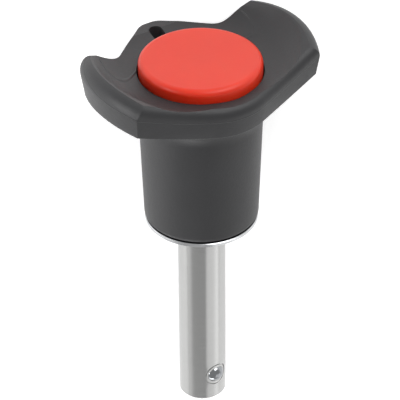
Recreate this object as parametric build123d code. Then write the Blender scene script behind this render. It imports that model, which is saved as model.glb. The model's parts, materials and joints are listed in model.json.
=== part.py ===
"""Ball lock pin with a two-winged grip.

The pin is drawn upright, with its axis on Z, the push button on top and the plane of its shoulder
at z = 0. Then every piece is laid down by one turn about that shoulder's centre, the way the loose
pin comes to rest on a bench: on the edge of its tip, on the nose of its grip and on the back corner
of one wing. Sizes are in millimetres.
"""

import math
import os

from build123d import *

# Shank: the ground pin that goes into the hole.
pin_d = 10.0
pin_length = 45.8
tip_chamfer = 0.6
tip_wall = 0.8
end_relief = 0.04
stem_d = 9.0
stem_top = 17.6
bore_d = 4.2

# Locking balls and their cross hole.
ball_d = 4.0
ball_proud = 1.0
ball_to_tip = 6.5
ball_clearance = 0.03
ball_turn = 4.1
stake_width = 0.28
stake_depth = 0.16
stake_gap = 0.28

# Button travel, and what it does to the balls.
button_travel = 4.0
cam_clearance = 0.02
cam_lead = 0.1
land_length = 0.6
neck_slack = 0.3
neck_clearance = 0.05

# Spindle above the cam.
spindle_d = 4.1
spindle_chamfer = 0.3
thread_d = 3.0
thread_length = 6.6

# Guide bush pressed into the top of the shank.
bush_d = 6.0
bush_length = 6.0
bush_flange_d = 9.0
bush_flange_t = 1.0
bush_clearance = 0.05

# Base washer between the pin's shoulder and the grip.
washer_d = 23.5
washer_t = 0.8
washer_edge = 0.15
washer_clearance = 0.05
countersink_clearance = 0.05

# Retaining ring that holds the grip on the shank.
ring_t = 1.0
ring_d = 13.0
ring_groove_depth = 0.4
ring_gap_angle = 40.0
ring_groove_play = 0.1
plier_hole_d = 1.1
plier_hole_angle = 16.0

# Hub of the grip: a slender cone with a rounded lower edge.
hub_base_d = 23.7
hub_taper_angle = 1.82
hub_edge_radius = 1.3
flare_base = 24.5
hub_flare_radius = 7.0
flare_angle = 48.0
flare_overlap = 1.2
grip_clearance = 0.05
web_top = 14.0

# Winged plate of the grip. Its outline is given at the parting level.
parting_level = 37.0
wing_radius = 24.15
wing_front_angle = 26.3
wing_back_angle = 26.1
front_radius = 16.6
front_hollow_radius = 110.0
nose_reach = 20.35
nose_half_width = 2.05
nose_radius = 4.0
back_hollow_x = 12.2
back_hollow_y = 11.8
back_hollow_radius = 5.0
back_corner_radius = 2.9
side_draft = 9.0
end_overrun = 2.0
block_overrun = 2.0
plan_clearance = 1.0

# The plate is bent upwards towards the wings.
saddle_top = 35.3
saddle_top_radius = 52.0
saddle_top_pivot = -15.0
saddle_top_tilt = 1.8
saddle_base = 28.6
saddle_base_radius = 64.0

# The wing ends are rolled over, and the dish is sunk between the rounded edges.
roll_radius = 2.5
dish_depth = 0.3

# Edge rounding of the plate.
front_edge_radius = 2.2
back_edge_radius = 1.0
low_edge_radius = 0.35

# Lanyard slot in the nose.
slot_width = 2.9
slot_inner_y = 15.2
slot_outer_y = 16.7

# Push button.
button_d = 25.1
button_top = 39.1
button_edge_radius = 1.2
button_skirt = 4.5
button_wall = 1.8
button_plate = 2.4
button_gap = 0.3
button_floor_gap = 0.15
boss_d = 9.4
boss_length = 6.8
sleeve_length = 9.0
sleeve_wall = 1.5
sleeve_clearance = 0.12
button_ribs = 6
rib_t = 1.2
rib_root = 0.4

# Threaded insert in the button.
insert_d = 5.0
insert_length = 7.4
knurl_count = 16
knurl_depth = 0.25

# Spring chamber and return spring.
chamber_d = 18.0
spring_mean_d = 6.9
spring_wire_d = 0.9
spring_turns = 6
spring_seat_gap = 0.02

# Levels that follow from the sizes above.
pin_r = pin_d / 2
stem_r = stem_d / 2
ball_r = ball_d / 2
ball_z = ball_to_tip - pin_length
ball_rest = pin_r + ball_proud - ball_r
relief_start = ball_z + ball_r + ball_clearance + stake_gap + stake_width
bore_floor = tip_wall - pin_length
bush_bottom = stem_top - bush_length
seat_level = stem_top + bush_flange_t
recess_d = button_d + 2 * button_gap
skirt_base = button_top - button_skirt
recess_floor = skirt_base - button_travel - button_floor_gap
plate_underside = button_top - button_plate
boss_base = plate_underside - boss_length
flare_sweep = math.radians(flare_angle)
sleeve_r = chamber_d / 2 - sleeve_clearance
sleeve_base = plate_underside - sleeve_length
plate_reach = wing_radius + end_overrun + block_overrun
plate_rise = saddle_top_radius - math.sqrt(saddle_top_radius**2 - plate_reach**2)
plan_overrun = math.ceil(saddle_top + plate_rise + plan_clearance - parting_level)

# The cam falls by ball_proud over the button's travel, so the balls follow at a constant ratio.
cam_slope = ball_proud / button_travel
cam_angle = math.atan(cam_slope)
contact_gap = ball_r + cam_clearance
contact_r = ball_rest - contact_gap * math.cos(cam_angle)
contact_z = ball_z - contact_gap * math.sin(cam_angle)
land_z = contact_z - cam_lead
land_r = contact_r + cam_slope * cam_lead
neck_r = ball_rest - ball_proud - ball_r - neck_clearance
neck_z = land_z + (land_r - neck_r) / cam_slope
guide_z = ball_z + ball_r + button_travel + neck_slack


def turned(*points):
    """A piece turned on a lathe from its half section, given as (radius, height) points."""
    outline = Polyline([(r, 0, z) for r, z in points], close=True)
    return revolve(make_face(outline), Axis.Z)


def hub_r(z):
    """Radius of the grip's hub at a height."""
    return hub_base_d / 2 + z * math.tan(math.radians(hub_taper_angle))


def make_shank():
    groove_r = stem_r - ring_groove_depth
    groove_low = web_top
    groove_high = web_top + ring_t + ring_groove_play
    body = turned(
        (0, -pin_length),
        (pin_r - tip_chamfer, -pin_length),
        (pin_r - end_relief, tip_chamfer - pin_length),
        (pin_r, relief_start),
        (pin_r, 0),
        (stem_r, pin_r - stem_r),
        (stem_r, groove_low),
        (groove_r, groove_low),
        (groove_r, groove_high),
        (stem_r, groove_high),
        (stem_r, stem_top),
        (bush_d / 2, stem_top),
        (bush_d / 2, bush_bottom),
        (bore_d / 2, bush_bottom),
        (bore_d / 2, bore_floor),
        (0, bore_floor),
    )
    across = ball_axis_location()
    hole_r = ball_r + ball_clearance
    for side in (1, -1):
        toward = across * Rotation(0, 90 * side, 0)
        body -= toward * extrude(Circle(hole_r), ball_rest)
        body -= toward * Pos(0, 0, ball_rest) * Sphere(hole_r)
        mouth_r = hole_r + stake_gap
        mark = extrude(Circle(mouth_r + stake_width) - Circle(mouth_r), pin_d)
        skin = Cylinder(pin_d, pin_d) - Cylinder(pin_r - stake_depth, pin_d)
        body -= (toward * mark) & Pos(0, 0, ball_z) * skin
    return body


def ball_axis_location():
    """Cross-hole frame: its X points along the ball axis."""
    return Pos(0, 0, ball_z) * Rotation(0, 0, 90 + ball_turn)


def make_ball(side):
    return ball_axis_location() * Pos(side * ball_rest, 0, 0) * Sphere(ball_r)


def make_spindle():
    return turned(
        (0, land_z - land_length),
        (land_r - spindle_chamfer, land_z - land_length),
        (land_r, land_z - land_length + spindle_chamfer),
        (land_r, land_z),
        (neck_r, neck_z),
        (neck_r, guide_z),
        (spindle_d / 2, guide_z + (spindle_d / 2 - neck_r)),
        (spindle_d / 2, bush_bottom),
        (thread_d / 2, bush_bottom),
        (thread_d / 2, boss_base + thread_length),
        (0, boss_base + thread_length),
    )


def make_guide_bush():
    inner = thread_d / 2 + bush_clearance
    return turned(
        (inner, bush_bottom),
        (bush_d / 2, bush_bottom),
        (bush_d / 2, stem_top),
        (bush_flange_d / 2, stem_top),
        (bush_flange_d / 2, seat_level),
        (inner, seat_level),
    )


def make_base_washer():
    inner = stem_r + washer_clearance
    outer = washer_d / 2
    return turned(
        (inner, pin_r - inner),
        (pin_r + countersink_clearance, 0),
        (outer - washer_edge, 0),
        (outer, washer_edge),
        (outer, washer_t - washer_edge),
        (outer - washer_edge, washer_t),
        (inner, washer_t),
    )


def make_retaining_ring():
    inner = stem_d / 2 - ring_groove_depth
    plate = Circle(ring_d / 2) - Circle(inner)
    half = ring_gap_angle / 2
    mouth = ring_d * math.tan(math.radians(half))
    plate -= make_face(Polyline((0, 0), (ring_d, -mouth), (ring_d, mouth), close=True))
    hole_at = (ring_d / 2 + inner) / 2
    for turn in (half + plier_hole_angle, -half - plier_hole_angle):
        plate -= Rotation(0, 0, turn) * Pos(hole_at, 0) * Circle(plier_hole_d / 2)
    return Pos(0, 0, web_top) * extrude(plate, ring_t)


def make_push_button():
    skirt_r = button_d / 2 - button_wall
    disc = Pos(0, 0, skirt_base) * extrude(Circle(button_d / 2), button_skirt)
    disc = fillet(disc.edges().sort_by(Axis.Z)[-1], button_edge_radius)
    cap = disc - Pos(0, 0, skirt_base) * extrude(Circle(skirt_r), plate_underside - skirt_base)
    boss = Pos(0, 0, boss_base) * extrude(Circle(boss_d / 2), boss_length)
    tube = Circle(sleeve_r) - Circle(sleeve_r - sleeve_wall)
    sleeve = Pos(0, 0, sleeve_base) * extrude(tube, plate_underside - sleeve_base)
    rib_h = plate_underside - skirt_base
    rib_mid = (sleeve_r + skirt_r) / 2
    rib = Pos(rib_mid, 0, skirt_base + rib_h / 2) * Box(skirt_r - sleeve_r + 2 * rib_root, rib_t, rib_h)
    ribs = [Rotation(0, 0, i * 360 / button_ribs) * rib for i in range(button_ribs)]
    return cap + boss + sleeve + ribs - insert_blank()


def insert_blank():
    """Knurled blank of the insert, which the button is moulded round."""
    r = insert_d / 2
    tooth = 2 * math.pi / knurl_count
    points = []
    for i in range(knurl_count):
        points.append((r * math.cos(i * tooth), r * math.sin(i * tooth)))
        low = r - knurl_depth
        points.append((low * math.cos((i + 0.5) * tooth), low * math.sin((i + 0.5) * tooth)))
    knurled = make_face(Polyline(points, close=True))
    return Pos(0, 0, boss_base) * extrude(knurled, insert_length)


def make_button_insert():
    hole = Pos(0, 0, boss_base) * extrude(Circle(thread_d / 2), thread_length)
    return insert_blank() - hole


def make_return_spring():
    r = spring_mean_d / 2
    wire = spring_wire_d / 2
    low = seat_level + spring_seat_gap + wire
    high = boss_base - spring_seat_gap - wire
    pitch = (high - low) / spring_turns
    path = Pos(0, 0, low) * Helix(pitch, high - low, r)
    section = Plane(path @ 0, z_dir=path % 0) * Circle(wire)
    return sweep(section, path=path)


def arc_between(radius, start, end):
    """Arc about the origin between two angles in degrees."""
    points = [polar(radius, a) for a in (start, (start + end) / 2, end)]
    return ThreePointArc(*points)


def polar(radius, angle):
    return Vector(radius, 0).rotate(Axis.Z, angle)


def wing_outline(reach):
    """Plan of the winged plate at the parting level, with its wings ending at that radius."""
    # The front hollow runs from the wing's front corner and is tangent to the round front.
    far = front_radius + front_hollow_radius
    meet = -wing_front_angle - hollow_spread(far, wing_radius)
    touch = polar(front_radius, meet)
    hollow_centre = polar(far, meet)
    front_corner = polar(reach, meet + hollow_spread(far, reach))
    middle = (front_corner + touch) / 2 - hollow_centre
    hollow = Vector(back_hollow_x, back_hollow_y)
    nose = Vector(nose_half_width, nose_reach)
    back_way = (polar(wing_radius, wing_back_angle) - hollow).normalized()
    along = hollow.dot(back_way)
    back_corner = hollow + back_way * (math.sqrt(reach**2 - hollow.length**2 + along**2) - along)
    side = [
        ThreePointArc(front_corner, Vector(reach, 0), back_corner),
        ThreePointArc(front_corner, hollow_centre + middle.normalized() * front_hollow_radius, touch),
        Line(back_corner, hollow),
        Line(hollow, nose),
    ]
    other = [edge.mirror(Plane.YZ) for edge in side]
    ends = [arc_between(front_radius, meet, -180 - meet), Line(nose, nose.rotate(Axis.Y, 180))]
    plan = make_face(side + other + ends)
    plan = fillet(matching(plan, hollow), back_hollow_radius)
    return fillet(matching(plan, nose), nose_radius)


def hollow_spread(far, reach):
    """Angle in degrees between the front hollow's centre and where it passes that reach."""
    return math.degrees(math.acos((far**2 + reach**2 - front_hollow_radius**2) / (2 * far * reach)))


def matching(plan, corner):
    """The plan's two vertices at a corner and at its mirror image."""
    at_corner = lambda v: abs(abs(v.X) - corner.X) + abs(v.Y - corner.Y) < 0.01
    return plan.vertices().filter_by(at_corner)


def drafted(plan):
    """Block with the grip's side draft whose section at the parting level is the plan."""
    depth = plan_overrun + parting_level - saddle_base + block_overrun
    grown = offset(plan, plan_overrun * math.tan(math.radians(side_draft)), kind=Kind.INTERSECTION)
    # The taper narrows upwards, so the block is drawn upside down and turned over.
    block = Rotation(0, 180, 0) * extrude(grown, depth, taper=side_draft)
    return Pos(0, 0, parting_level + plan_overrun) * block


def under_saddle(level, radius, floor):
    """Everything from a floor up to a bent face that rises from its lowest level towards both wings."""
    rise = radius - math.sqrt(radius**2 - plate_reach**2)
    bend = ThreePointArc((-plate_reach, 0, level + rise), (0, 0, level), (plate_reach, 0, level + rise))
    sides = Polyline(bend @ 1, (plate_reach, 0, floor), (-plate_reach, 0, floor), bend @ 0)
    return extrude(make_face([bend, *sides.edges()]), 2 * wing_radius, both=True)


def top_saddle(rise):
    """Everything under the plate's bent top, raised by a little; it also climbs towards the nose."""
    block = under_saddle(saddle_top + rise, saddle_top_radius, 0)
    pivot = Pos(0, saddle_top_pivot, saddle_top)
    return pivot * Rotation(saddle_top_tilt, 0, 0) * pivot.inverse() * block


def make_plate():
    """Winged plate between its two bent faces, before the hub joins it."""
    brim = top_saddle(dish_depth)
    disc = drafted(make_face(Circle(wing_radius).edges())) & brim
    rolled_ends = fillet(bent_edges(disc, saddle_top_radius), roll_radius)
    plate = drafted(wing_outline(wing_radius + end_overrun)) & brim
    front = bent_edges(plate, saddle_top_radius).filter_by(lambda e: e.center().Y < -front_radius / 2)
    plate = fillet(front, front_edge_radius)
    back = bent_edges(plate, saddle_top_radius).filter_by(lambda e: e.center().Y > front_radius / 2)
    plate = fillet(back, back_edge_radius)
    plan = wing_outline(wing_radius)
    corners = matching(plan, polar(wing_radius, wing_back_angle))
    plate = plate & top_saddle(0) & rolled_ends & drafted(fillet(corners, back_corner_radius))
    plate -= under_saddle(saddle_base, saddle_base_radius, 0)
    return fillet(bent_edges(plate, saddle_base_radius), low_edge_radius)


def bent_edges(body, radius):
    """Edges round the body's bent face of that radius."""
    bent = lambda f: f.geom_type == GeomType.CYLINDER and abs(f.radius - radius) < 0.01
    return body.faces().filter_by(bent).sort_by(SortBy.AREA)[-1].edges()


def make_hub():
    """Hub of the grip as one solid cone, flared into the plate."""
    start = hub_r(flare_base)
    level = flare_base + hub_flare_radius * math.sin(flare_sweep)
    end = start + hub_flare_radius * (1 - math.cos(flare_sweep))
    mid_r = start + hub_flare_radius * (1 - math.cos(flare_sweep / 2))
    mid_z = flare_base + hub_flare_radius * math.sin(flare_sweep / 2)
    base_r = hub_r(washer_t)
    flare = ThreePointArc((start, 0, flare_base), (mid_r, 0, mid_z), (end, 0, level))
    top = saddle_base + flare_overlap
    outline = Polyline(
        (end, 0, level),
        (end, 0, top),
        (0, 0, top),
        (0, 0, washer_t),
        (base_r - hub_edge_radius, 0, washer_t),
    )
    edge_angle = math.pi / 4
    edge_mid = (
        base_r - hub_edge_radius * (1 - math.sin(edge_angle)),
        0,
        washer_t + hub_edge_radius * (1 - math.cos(edge_angle)),
    )
    edge_end = (base_r, 0, washer_t + hub_edge_radius)
    edge = ThreePointArc((base_r - hub_edge_radius, 0, washer_t), edge_mid, edge_end)
    wall = Line(edge_end, (start, 0, flare_base))
    return revolve(make_face([flare, *outline.edges(), edge, wall]), Axis.Z)


def make_grip():
    body = make_plate() + make_hub()
    inside = turned(
        (0, 0),
        (stem_d / 2 + grip_clearance, 0),
        (stem_d / 2 + grip_clearance, web_top),
        (chamber_d / 2, web_top),
        (chamber_d / 2, recess_floor),
        (recess_d / 2, recess_floor),
        (recess_d / 2, button_top + plan_overrun),
        (0, button_top + plan_overrun),
    )
    slot = SlotCenterToCenter(slot_outer_y - slot_inner_y, slot_width, rotation=90)
    hole = Pos(0, (slot_inner_y + slot_outer_y) / 2, saddle_base / 2) * extrude(slot, parting_level)
    return body - inside - hole


def rest_plane(grip):
    """Bench under the loose pin, in the pin's own frame: the tip's edge, nose and one wing touch it."""
    points = [Vector(*v) for v in grip.tessellate(0.02, 0.1)[0]]
    nose = [p for p in points if abs(p.X) < back_hollow_x and p.Y > 0]
    wing = [p for p in points if p.X > back_hollow_x and p.Y > 0]
    down = Vector(0.4, 0.9, 0)
    for _ in range(12):
        flat = Vector(down.X, down.Y).normalized()
        tip = flat * pin_r + Vector(0, 0, tip_chamfer - pin_length)
        on_nose = max(nose, key=down.dot)
        on_wing = max(wing, key=down.dot)
        down = (on_nose - tip).cross(on_wing - tip).normalized()
        if down.Y < 0:
            down = -down
    axis = Vector(0, 0, 1)
    toward_tip = down * axis.dot(down) - axis
    return Plane((0, 0, 0), x_dir=toward_tip.cross(-down), z_dir=-down)


shapes = {
    "grip": make_grip(),
    "push_button": make_push_button(),
    "button_insert": make_button_insert(),
    "spindle": make_spindle(),
    "return_spring": make_return_spring(),
    "guide_bush": make_guide_bush(),
    "shank": make_shank(),
    "retaining_ring": make_retaining_ring(),
    "locking_ball_front": make_ball(-1),
    "locking_ball_back": make_ball(1),
    "base_washer": make_base_washer(),
}
bench = rest_plane(shapes["grip"])
os.makedirs("parts", exist_ok=True)
for name, shape in shapes.items():
    export_step(bench.location.inverse() * shape, f"parts/{name}.step")
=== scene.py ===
"""Ball lock pin with a two-winged grip, lying on a bench: finishes, bowl, spring, light and camera."""

import json
import math

import bmesh
import bpy
from mathutils import Matrix, Vector


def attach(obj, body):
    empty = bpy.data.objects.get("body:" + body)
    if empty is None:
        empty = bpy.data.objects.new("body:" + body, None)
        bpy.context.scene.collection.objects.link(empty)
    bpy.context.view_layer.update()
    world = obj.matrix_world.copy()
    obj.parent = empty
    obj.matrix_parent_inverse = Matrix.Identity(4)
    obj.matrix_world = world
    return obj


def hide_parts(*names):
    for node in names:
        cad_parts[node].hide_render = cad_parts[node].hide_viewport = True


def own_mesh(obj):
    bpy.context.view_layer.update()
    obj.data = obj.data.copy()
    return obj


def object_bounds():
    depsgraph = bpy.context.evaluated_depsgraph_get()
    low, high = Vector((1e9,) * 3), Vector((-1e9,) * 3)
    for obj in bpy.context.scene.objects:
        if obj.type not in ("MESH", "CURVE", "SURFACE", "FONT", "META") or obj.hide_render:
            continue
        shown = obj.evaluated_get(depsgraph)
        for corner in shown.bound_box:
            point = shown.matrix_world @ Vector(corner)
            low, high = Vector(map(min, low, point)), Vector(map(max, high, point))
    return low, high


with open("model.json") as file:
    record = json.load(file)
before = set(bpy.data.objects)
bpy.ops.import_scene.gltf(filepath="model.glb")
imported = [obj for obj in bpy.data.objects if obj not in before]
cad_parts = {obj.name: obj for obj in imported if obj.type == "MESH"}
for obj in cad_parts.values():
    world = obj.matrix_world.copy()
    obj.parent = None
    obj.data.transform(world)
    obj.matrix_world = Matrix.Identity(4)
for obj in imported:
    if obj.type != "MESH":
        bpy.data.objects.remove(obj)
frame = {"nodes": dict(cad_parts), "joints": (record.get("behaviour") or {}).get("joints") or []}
cad_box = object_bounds()


# ---- Shank ---------------------------------------------------------------------------------------------
# Round bar of precipitation-hardening stainless steel, bored for the spindle and cross-drilled for the
# balls. The outside is centreless ground and passivated: grey and bright, with hair-fine rings that draw
# every reflection out into a soft band along the pin.

# The pin lies tilted on the bench, so sizes along and across it are given in its own axes: Z runs up the
# shank to the button, Y to the grip's nose and X to one wing. They come from the button's travel and the
# balls' cross hole, which is drilled a few degrees off the grip's own axes.
ball_hole_turn = math.radians(94.1)
joints = {joint["name"]: joint for joint in frame["joints"]}
up_pin = -Vector(joints["button_press"]["axis"])
along_hole = Vector(joints["front_ball_retract"]["axis"])
beside_hole = up_pin.cross(along_hole)
to_wing = math.cos(ball_hole_turn) * along_hole - math.sin(ball_hole_turn) * beside_hole
to_nose = math.sin(ball_hole_turn) * along_hole + math.cos(ball_hole_turn) * beside_hole
pin_axes = Matrix((to_wing, to_nose, up_pin)).transposed()


def linear(colour):
    """Linear colour from an sRGB hex value."""
    parts = [int(colour[i : i + 2], 16) / 255 for i in (1, 3, 5)]
    return [p / 12.92 if p < 0.04045 else ((p + 0.055) / 1.055) ** 2.4 for p in parts] + [1.0]


def add(tree, kind, inputs=(), **settings):
    """Adds a node to a tree, sets it and feeds its inputs with values, or with nodes or their outputs."""
    node = tree.nodes.new(kind)
    for name, value in settings.items():
        setattr(node, name, value)
    for name, value in dict(inputs).items():
        if isinstance(value, bpy.types.Node):
            value = value.outputs[0]
        if isinstance(value, bpy.types.NodeSocket):
            tree.links.new(value, node.inputs[name])
        else:
            node.inputs[name].default_value = value
    return node


def new_material(name):
    """Material with an empty node tree, and that tree."""
    material = bpy.data.materials.new(name)
    material.use_nodes = True
    material.node_tree.nodes.clear()
    return material, material.node_tree


def place_in_mm(tree):
    """Place on the piece, in millimetres in the pin's own axes."""
    place = add(tree, "ShaderNodeTexCoord").outputs["Object"]
    turn = pin_axes.transposed().to_euler()
    inputs = {"Vector": place, "Rotation": turn, "Scale": (1000, 1000, 1000)}
    return add(tree, "ShaderNodeMapping", inputs)


def worked_metal(name, dark, light, roughness, mark_mm, crowding, depth_mm):
    """Metal whose tool marks, crowded along some of the pin's axes, vary its tone and its gloss."""
    material, tree = new_material(name)
    along = add(tree, "ShaderNodeMapping", {"Vector": place_in_mm(tree), "Scale": crowding})
    marks = add(tree, "ShaderNodeTexNoise", {"Vector": along, "Scale": 1 / mark_mm, "Detail": 3.0})

    # A Mix node takes its two colours at inputs 6 and 7, and two numbers at inputs 2 and 3.
    tones = {"Factor": marks, 6: linear(dark), 7: linear(light)}
    tone = add(tree, "ShaderNodeMix", tones, data_type="RGBA")
    gloss_range = {"Value": marks, "To Min": roughness[0], "To Max": roughness[1]}
    gloss = add(tree, "ShaderNodeMapRange", gloss_range)
    heights = {"Height": marks, "Distance": depth_mm / 1000, "Strength": 0.5}
    relief = add(tree, "ShaderNodeBump", heights)
    inputs = {"Base Color": tone.outputs[2], "Metallic": 1.0, "Roughness": gloss, "Normal": relief}
    shader = add(tree, "ShaderNodeBsdfPrincipled", inputs)
    add(tree, "ShaderNodeOutputMaterial", {"Surface": shader})
    return material


def dress(name, material):
    """Gives a CAD node its finish."""
    frame["nodes"][name].material_slots[0].material = material


# Real grinding lines are about 0.02 mm apart; they are drawn 0.2 mm apart so that they show.
rings = (0.05, 0.05, 1.0)
ground = worked_metal(
    "ground_stainless_steel",
    dark="#ABABAA",
    light="#B8B8B7",
    roughness=(0.18, 0.28),
    mark_mm=0.2,
    crowding=rings,
    depth_mm=0.008,
)
dress("shank", ground)


# ---- Locking balls -------------------------------------------------------------------------------------
# Two hardened chrome-steel bearing balls in the cross hole, held in by a ring staked round its mouth. They
# are lapped, so they mirror the room, with only a faint haze.
evenly = (1.0, 1.0, 1.0)
lapped = worked_metal(
    "lapped_chrome_steel",
    dark="#8E9093",
    light="#9A9C9F",
    roughness=(0.03, 0.07),
    mark_mm=1.2,
    crowding=evenly,
    depth_mm=0.0005,
)
dress("locking_ball_front", lapped)
dress("locking_ball_back", lapped)


# ---- Spindle, guide bush and retaining ring ------------------------------------------------------------
# Turned stainless steel inside the pin: the spindle with its cam cone, the bush that guides it and, round
# the stem, the ring that holds the grip. The cutting tool leaves fine rings round each of them.
turned = worked_metal(
    "turned_stainless_steel",
    dark="#9C9DA0",
    light="#A9AAAD",
    roughness=(0.28, 0.4),
    mark_mm=0.2,
    crowding=rings,
    depth_mm=0.006,
)
dress("spindle", turned)
dress("guide_bush", turned)
dress("retaining_ring", turned)


# ---- Base washer ---------------------------------------------------------------------------------------
# Thin stainless washer, stamped and tumbled, between the pin's shoulder and the grip. Tumbling leaves it
# bright with a fine even haze and rounds its edge, which catches the light.
tumbled = worked_metal(
    "tumbled_stainless_steel",
    dark="#BDBEC0",
    light="#C8C9CA",
    roughness=(0.16, 0.26),
    mark_mm=0.6,
    crowding=evenly,
    depth_mm=0.004,
)
dress("base_washer", tumbled)


# ---- Grip ----------------------------------------------------------------------------------------------
# Glass-filled nylon, injection moulded in one piece: hub, dish and both wings. The fibres make it a dull,
# slightly uneven dark grey, the mould's eroded face gives it a fine grain, and the two mould halves meet in
# a thin raised line that runs round the plate along its bend.
def moulded_plastic(name, dark, light, roughness, grain_mm, grain_depth_mm, flow_mm, gloss):
    """Plastic with the mould's fine grain and a slow change of tone where it flowed."""
    material, tree = new_material(name)
    place = place_in_mm(tree)
    grain = add(tree, "ShaderNodeTexNoise", {"Vector": place, "Scale": 1 / grain_mm, "Detail": 4.0})
    flow = add(tree, "ShaderNodeTexNoise", {"Vector": place, "Scale": 1 / flow_mm, "Detail": 3.0})
    tones = {"Factor": flow, 6: linear(dark), 7: linear(light)}
    tone = add(tree, "ShaderNodeMix", tones, data_type="RGBA")
    shine_range = {"Value": grain, "To Min": roughness[0], "To Max": roughness[1]}
    shine = add(tree, "ShaderNodeMapRange", shine_range)
    heights = {"Height": grain, "Distance": grain_depth_mm / 1000, "Strength": 0.5}
    relief = add(tree, "ShaderNodeBump", heights)
    inputs = {"Base Color": tone.outputs[2], "Roughness": shine, "Normal": relief}
    shader = add(tree, "ShaderNodeBsdfPrincipled", inputs | {"Specular IOR Level": gloss})
    add(tree, "ShaderNodeOutputMaterial", {"Surface": shader})
    return material


# An eroded mould leaves grain about a tenth of a millimetre wide; it is drawn coarser so that it shows.
nylon = moulded_plastic(
    "moulded_glass_filled_nylon",
    dark="#29292A",
    light="#303032",
    roughness=(0.42, 0.56),
    grain_mm=0.5,
    grain_depth_mm=0.05,
    flow_mm=9.0,
    gloss=0.4,
)
dress("grip", nylon)

# The parting line is lowest at the middle of the plate's front. It rises with the square of the way out to
# the wings, over one length, and with the square of the way back to the nose, over another. Real flash is a
# few hundredths of a millimetre high; it is drawn higher so that it shows.
parting_low = 32.6
parting_wing_length = 112.0
parting_nose_length = 75.0
parting_back_start = -5.0
parting_half_width = 0.13
parting_height = 0.11
tree = nylon.node_tree
place = add(tree, "ShaderNodeSeparateXYZ", {"Vector": tree.nodes["Mapping"]}).outputs
out_squared = add(tree, "ShaderNodeMath", {0: place["X"], 1: 2.0}, operation="POWER")
wing_rise = add(tree, "ShaderNodeMath", {0: out_squared, 1: parting_wing_length}, operation="DIVIDE")
behind = add(tree, "ShaderNodeMath", {0: place["Y"], 1: parting_back_start}, operation="SUBTRACT")
back = add(tree, "ShaderNodeMath", {0: behind, 1: 0.0}, operation="MAXIMUM")
back_squared = add(tree, "ShaderNodeMath", {0: back, 1: 2.0}, operation="POWER")
nose_rise = add(tree, "ShaderNodeMath", {0: back_squared, 1: parting_nose_length}, operation="DIVIDE")
rise = add(tree, "ShaderNodeMath", {0: wing_rise, 1: nose_rise}, operation="ADD")
line = add(tree, "ShaderNodeMath", {0: rise, 1: parting_low}, operation="ADD")
off_line = add(tree, "ShaderNodeMath", {0: place["Z"], 1: line}, operation="SUBTRACT")
distance = add(tree, "ShaderNodeMath", {0: off_line}, operation="ABSOLUTE")
ridge_inputs = {"Value": distance, "From Max": parting_half_width, "To Min": 1.0, "To Max": 0.0}
ridge = add(tree, "ShaderNodeMapRange", ridge_inputs, interpolation_type="SMOOTHSTEP")
raised = add(tree, "ShaderNodeBump", {"Height": ridge, "Distance": parting_height / 1000})
tree.links.new(raised.outputs[0], tree.nodes["Bump"].inputs["Normal"])

# The dish is flat round the button and climbs to the wings as a bowl. The solid's dish follows the bend of
# the plate instead, so the bowl is cut into a copy of it, with a crisp edge all round the cut.
dish_level = 35.5
dish_flat_radius = 13.2
bowl_radius = 9.5
bowl_end = math.radians(64)
bowl_steps = 24
cutter_top = 45.0
cutter_steps = 160
weld_reach = 0.001
crisp_from = math.radians(22)


def placed(x, y, z):
    """A place in the row frame, in metres, from millimetres in the pin's own axes."""
    return pin_axes @ Vector((x, y, z)) / 1000


def new_piece(name, mesh):
    """Object in the scene for a mesh."""
    piece = bpy.data.objects.new(name, mesh)
    bpy.context.scene.collection.objects.link(piece)
    return piece


def turned_solid(name, profile, steps):
    """Closed piece from a profile of radii and levels, from pole to pole, turned round the pin's axis."""
    poles = [profile[0], profile[-1]]
    corners = [placed(0, 0, level) for _, level in poles]
    for radius, level in profile[1:-1]:
        for step in range(steps):
            turn = 2 * math.pi * step / steps
            corners.append(placed(radius * math.cos(turn), radius * math.sin(turn), level))
    first_ring = len(poles)
    last_ring = len(corners) - steps
    faces = []
    for step in range(steps):
        after = (step + 1) % steps
        faces.append((0, first_ring + after, first_ring + step))
        for low in range(first_ring, last_ring, steps):
            high = low + steps
            faces.append((low + step, low + after, high + after, high + step))
        faces.append((last_ring + step, last_ring + after, 1))
    mesh = bpy.data.meshes.new(name)
    mesh.from_pydata(corners, [], faces)
    return new_piece(name, mesh)


def free_copy(name, new_name):
    """Copy of a CAD node with its own mesh."""
    piece = frame["nodes"][name].copy()
    piece.data = piece.data.copy()
    piece.name = new_name
    bpy.context.scene.collection.objects.link(piece)
    return piece


def settled(piece, name):
    """Plain mesh of a piece with its modifiers applied."""
    bpy.context.view_layer.update()
    ready = piece.evaluated_get(bpy.context.evaluated_depsgraph_get())
    mesh = bpy.data.meshes.new_from_object(ready)
    mesh.name = name
    return mesh


bowl = [(0, dish_level), (dish_flat_radius, dish_level)]
for step in range(1, bowl_steps + 1):
    turn = bowl_end * step / bowl_steps
    radius = dish_flat_radius + bowl_radius * math.sin(turn)
    bowl.append((radius, dish_level + bowl_radius * (1 - math.cos(turn))))
bowl += [(radius, cutter_top), (0, cutter_top)]
cutter = turned_solid("bowl_cutter", bowl, cutter_steps)
block = free_copy("grip", "uncut_grip")
welded = bmesh.new()
welded.from_mesh(block.data)
bmesh.ops.remove_doubles(welded, verts=welded.verts, dist=weld_reach / 1000)
welded.to_mesh(block.data)
welded.free()

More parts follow.
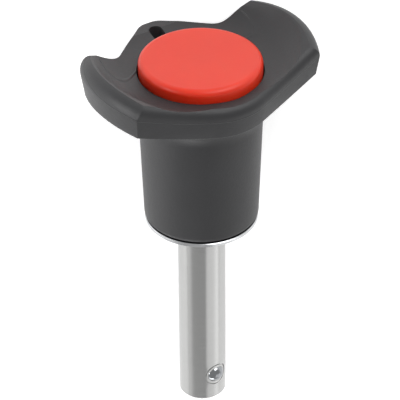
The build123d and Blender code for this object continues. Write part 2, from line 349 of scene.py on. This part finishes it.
# A second slot with the same finish tells the cut's faces from the rest until its edge is marked.
block.data.materials.append(nylon)
cutter.data.materials.append(nylon)
cutter.data.materials.append(nylon)
for face in cutter.data.polygons:
    face.material_index = 1
cut = block.modifiers.new("bowl", "BOOLEAN")
cut.object = cutter
cut.operation = "DIFFERENCE"
cut.solver = "EXACT"
dished_mesh = settled(block, "dished_grip")
bpy.data.objects.remove(block)
bpy.data.objects.remove(cutter)
shaded = bmesh.new()
shaded.from_mesh(dished_mesh)
for edge in shaded.edges:
    one_surface = len({face.material_index for face in edge.link_faces}) == 1
    edge.smooth = one_surface and edge.calc_face_angle(0) < crisp_from
for face in shaded.faces:
    face.smooth = True
    face.material_index = 0
shaded.to_mesh(dished_mesh)
shaded.free()
dished_mesh.materials.pop()
dished = new_piece("dished_grip", dished_mesh)
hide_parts("grip")
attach(dished, "pin")


# ---- Return spring -------------------------------------------------------------------------------------
# Compression spring of hard-drawn stainless wire, coiled round the spindle from the bush's flange to the
# button's boss. Drawing leaves faint lines along the wire. The real spring shortens as the button goes
# down;
# this one rides with the pin and keeps the length of the solid's spring.
spring_mean_d = 6.9
spring_wire_d = 0.9
spring_turns = 6.0
steps_per_turn = 40
wire_sides = 12
spring_levels = [1000 * up_pin.dot(v.co) for v in frame["nodes"]["return_spring"].data.vertices]
spring_low = min(spring_levels)
spring_length = max(spring_levels) - spring_low


def spring_tree():
    """Geometry Nodes tree that winds a wire from sizes in metres."""
    tree = bpy.data.node_groups.new("wound_spring", "GeometryNodeTree")
    tree.interface.new_socket("Geometry", in_out="INPUT", socket_type="NodeSocketGeometry")
    for size in ("Coil radius", "Wire radius", "Length", "Turns"):
        tree.interface.new_socket(size, in_out="INPUT", socket_type="NodeSocketFloat")
    tree.interface.new_socket("Finish", in_out="INPUT", socket_type="NodeSocketMaterial")
    tree.interface.new_socket("Geometry", in_out="OUTPUT", socket_type="NodeSocketGeometry")
    given = add(tree, "NodeGroupInput").outputs
    radii = {"Start Radius": given["Coil radius"], "End Radius": given["Coil radius"]}
    winding = {"Resolution": steps_per_turn, "Rotations": given["Turns"], "Height": given["Length"]}
    coil = add(tree, "GeometryNodeCurveSpiral", radii | winding)
    round_wire = {"Resolution": wire_sides, "Radius": given["Wire radius"]}
    section = add(tree, "GeometryNodeCurvePrimitiveCircle", round_wire)
    wound = {"Curve": coil, "Profile Curve": section, "Fill Caps": True}
    wire = add(tree, "GeometryNodeCurveToMesh", wound)
    solid = add(tree, "GeometryNodeRealizeInstances", {"Geometry": wire})
    coated = add(tree, "GeometryNodeSetMaterial", {"Geometry": solid, "Material": given["Finish"]})
    add(tree, "NodeGroupOutput", {"Geometry": coated})
    return tree


def grown(name, tree, sizes):
    """Plain piece from a Geometry Nodes tree with its inputs set."""
    maker = new_piece(name + "_maker", bpy.data.meshes.new(name + "_maker"))
    modifier = maker.modifiers.new("made", "NODES")
    modifier.node_group = tree
    for socket in tree.interface.items_tree:
        if socket.in_out == "INPUT" and socket.name in sizes:
            modifier[socket.identifier] = sizes[socket.name]
    mesh = settled(maker, name)
    bpy.data.objects.remove(maker)
    return new_piece(name, mesh)


wire_lines = (1.0, 1.0, 6.0)
drawn = worked_metal(
    "drawn_spring_steel",
    dark="#8D8F93",
    light="#9B9DA0",
    roughness=(0.26, 0.38),
    mark_mm=0.5,
    crowding=wire_lines,
    depth_mm=0.002,
)
spring_sizes = {
    "Coil radius": spring_mean_d / 2 / 1000,
    "Wire radius": spring_wire_d / 2 / 1000,
    "Length": (spring_length - spring_wire_d) / 1000,
    "Turns": spring_turns,
    "Finish": drawn,
}
spring = grown("wound_return_spring", spring_tree(), spring_sizes)
spring.data.transform(Matrix.Translation((0, 0, (spring_low + spring_wire_d / 2) / 1000)))
spring.data.transform(pin_axes.to_4x4())
spring.data.shade_smooth()
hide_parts("return_spring")
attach(spring, "pin")
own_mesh(spring)


# ---- Button insert -------------------------------------------------------------------------------------
# Knurled brass insert that the button is moulded round, tapped for the spindle. Brass keeps a warm dull
# shine where the knurling tool pressed it.
brass = worked_metal(
    "knurled_brass",
    dark="#B39150",
    light="#C3A262",
    roughness=(0.24, 0.36),
    mark_mm=0.8,
    crowding=evenly,
    depth_mm=0.003,
)
dress("button_insert", brass)


# ---- Push button ---------------------------------------------------------------------------------------
# Acetal, injection moulded through a gate under the cap, coloured red so that it shows which part to press.
# Its flat face has the mould's fine even grain and a soft waxy sheen.
acetal = moulded_plastic(
    "moulded_red_acetal",
    dark="#D62C10",
    light="#DC3414",
    roughness=(0.34, 0.44),
    grain_mm=0.3,
    grain_depth_mm=0.012,
    flow_mm=8.0,
    gloss=0.4,
)
dress("push_button", acetal)

# Acetal is slightly milky: red light spreads about three millimetres in it, which softens the rim's shade.
milky = acetal.node_tree.nodes["Principled BSDF"].inputs
milky["Subsurface Weight"].default_value = 0.6
milky["Subsurface Radius"].default_value = (1.0, 0.25, 0.12)
milky["Subsurface Scale"].default_value = 0.003

# The cap stands about a millimetre less proud of the dish than the solid's, so its top and rounded edge are
# set down.
cap_edge_level = 37.8
cap_set_down = 0.96
cap = free_copy("push_button", "low_push_button")
for corner in cap.data.vertices:
    if 1000 * up_pin.dot(corner.co) > cap_edge_level:
        corner.co -= up_pin * cap_set_down / 1000
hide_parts("push_button")
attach(cap, "button")


# ---- Bench ---------------------------------------------------------------------------------------------
# Plain pale bench top that the pin lies on, wide enough to fill every view. It shows as white, keeps the
# pin's soft shadow, and metal mirrors it as white too. Its sizes are in metres.
bench_half = 3.0
bench_level = cad_box[0][2]
bench_glow = 0.5


def seen_rays(tree):
    """1 for rays from the camera, a mirror or glass, and 0 for light on its way to a surface."""
    rays = add(tree, "ShaderNodeLightPath").outputs
    mirror_or_glass = {0: rays["Is Glossy Ray"], 1: rays["Is Transmission Ray"]}
    reflected = add(tree, "ShaderNodeMath", mirror_or_glass, operation="MAXIMUM")
    return add(tree, "ShaderNodeMath", {0: rays["Is Camera Ray"], 1: reflected}, operation="MAXIMUM")


sides = ((-1, -1), (1, -1), (1, 1), (-1, 1))
corners = [(x * bench_half, y * bench_half, bench_level) for x, y in sides]
bench_mesh = bpy.data.meshes.new("bench")
bench_mesh.from_pydata(corners, [], [(0, 1, 2, 3)])
bench = new_piece("bench", bench_mesh)
pale, tree = new_material("pale_bench")
surface = add(tree, "ShaderNodeBsdfDiffuse", {"Color": linear("#F4F4F4")})
shown = add(tree, "ShaderNodeMath", {0: seen_rays(tree), 1: bench_glow}, operation="MULTIPLY")
light = add(tree, "ShaderNodeEmission", {"Color": linear("#FFFFFF"), "Strength": shown})
both = add(tree, "ShaderNodeAddShader", {0: surface, 1: light})
add(tree, "ShaderNodeOutputMaterial", {"Surface": both})
bench.data.materials.append(pale)


# ---- Light ---------------------------------------------------------------------------------------------
# Room with white walls and a dim ceiling, and four soft boxes: one over the button's end of the pin, one on
# each side of it and one beyond its tip. Their places are in the pin's own axes, in millimetres.
room_light = 0.62
ceiling_share = 0.6
ceiling_reflected = 0.53

# Heights in the room are the sine of the angle above the level of the bench.
wall_top = 0.2
ceiling_start = 0.4
world = bpy.data.worlds.new("white_room")
bpy.context.scene.world = world
world.use_nodes = True
tree = world.node_tree
tree.nodes.clear()
direction = add(tree, "ShaderNodeTexCoord").outputs["Generated"]
height = add(tree, "ShaderNodeSeparateXYZ", {"Vector": direction}).outputs["Z"]
climb = {"Value": height, "From Min": wall_top, "From Max": ceiling_start, "To Min": 1.0}
lit_range = climb | {"To Max": ceiling_share}
lit = add(tree, "ShaderNodeMapRange", lit_range, interpolation_type="SMOOTHSTEP")
mirrored_range = climb | {"To Max": ceiling_reflected}
mirrored = add(tree, "ShaderNodeMapRange", mirrored_range, interpolation_type="SMOOTHSTEP")
room = add(tree, "ShaderNodeMath", {0: lit, 1: room_light}, operation="MULTIPLY")
in_metal = add(tree, "ShaderNodeMix", {"Factor": seen_rays(tree), 2: room, 3: mirrored}, data_type="FLOAT")
from_camera = add(tree, "ShaderNodeLightPath").outputs["Is Camera Ray"]
shown = add(tree, "ShaderNodeMix", {"Factor": from_camera, 2: in_metal, 3: 1.0}, data_type="FLOAT")
backdrop = add(tree, "ShaderNodeBackground", {"Color": linear("#FFFFFF"), "Strength": shown})
add(tree, "ShaderNodeOutputWorld", {"Surface": backdrop})


def soft_box(name, at, aim, width, height, watts):
    """Area lamp at a place in the pin's axes, turned to another."""
    lamp = bpy.data.lights.new(name, "AREA")
    lamp.shape = "RECTANGLE"
    lamp.size = width / 1000
    lamp.size_y = height / 1000
    lamp.energy = watts
    box = bpy.data.objects.new(name, lamp)
    box.location = placed(*at)
    ahead = (placed(*aim) - placed(*at)).normalized()
    side = up_pin.cross(ahead).normalized()
    box.rotation_euler = Matrix((side, -ahead.cross(side), -ahead)).transposed().to_euler()
    bpy.context.scene.collection.objects.link(box)


soft_box("box_over_button", at=(70, -180, 300), aim=(0, 0, 20), width=300, height=180, watts=0.68)
soft_box("box_at_left", at=(-330, 20, 60), aim=(0, 0, 10), width=120, height=300, watts=0.8)
soft_box("box_at_right", at=(110, -300, -190), aim=(0, 0, 0), width=360, height=260, watts=0.2)
soft_box("box_beyond_tip", at=(-120, -40, -330), aim=(0, 0, 10), width=200, height=80, watts=0.25)


# ---- Camera --------------------------------------------------------------------------------------------
# Long lens at the grip's front left, a third of the way up from the level of its wings, with the button's
# end of the pin at the top of the picture. Angles and places are in the pin's own axes.
camera_azimuth = math.radians(-32.9)
camera_elevation = math.radians(34.5)
camera_distance = 526.7
camera_roll = math.radians(-0.3873)
pan_left = math.radians(0.0284)
tilt_down = math.radians(0.5645)
target_level = 10.0
lens_mm = 230.66
sensor_mm = 36.0
level_way = Vector((math.sin(camera_azimuth), -math.cos(camera_azimuth), 0))
away = level_way * math.cos(camera_elevation) + Vector((0, 0, math.sin(camera_elevation)))
target = Vector((0, 0, target_level))
eye = target + away * camera_distance
right = Vector((0, 0, 1)).cross(away).normalized()
top = away.cross(right)
look = Matrix((right, top, away)).transposed()
for turn, axis in ((camera_roll, "Z"), (pan_left, "Y"), (-tilt_down, "X")):
    look = look @ Matrix.Rotation(turn, 3, axis)
lens = bpy.data.cameras.new("long_lens")
lens.sensor_width = sensor_mm
lens.lens = lens_mm
camera = bpy.data.objects.new("camera", lens)
camera.matrix_world = Matrix.Translation(placed(*eye)) @ (pin_axes @ look).to_4x4()
bpy.context.scene.collection.objects.link(camera)
bpy.context.scene.camera = camera
bpy.context.scene.view_settings.view_transform = "Standard"
